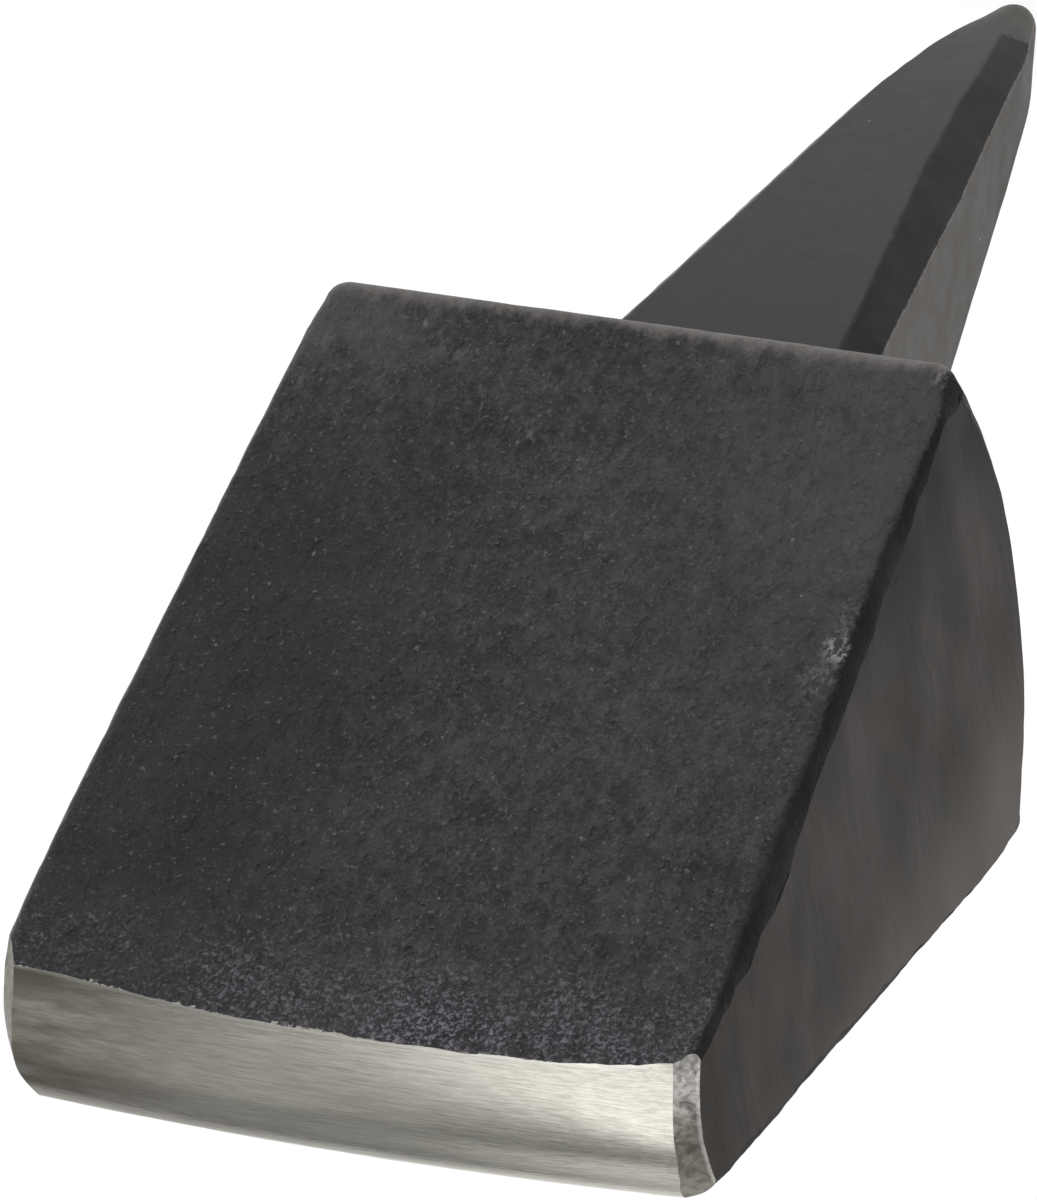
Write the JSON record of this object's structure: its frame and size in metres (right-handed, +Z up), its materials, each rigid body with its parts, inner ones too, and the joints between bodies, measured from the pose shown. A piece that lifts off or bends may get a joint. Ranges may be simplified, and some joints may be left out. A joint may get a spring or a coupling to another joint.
{
  "type": "scythe peening anvil",
  "caption": "Forged peening anvil for scythe blades: a narrow crowned striking face on a wedge head with a pointed tang to drive into a block.",
  "frame": {"origin": "on the anvil's axis where the tang leaves the lowest point of the arched shoulder", "axes": "+Z up through the striking face with the tang pointing down, +X along the striking face, +Y through its thickness"},
  "size_m": [0.0448, 0.035, 0.1133],
  "materials": {
    "ground_steel": "fine ground bare tool steel",
    "black_forged_steel": "rough forged, thin matt black lacquer",
    "black_tang_steel": "smoother forged, thin satin black lacquer"
  },
  "bodies": {
    "root": {"striking_face": "ground_steel", "wedge_head": "black_forged_steel", "tang": "black_tang_steel"}
  },
  "joints": []
}
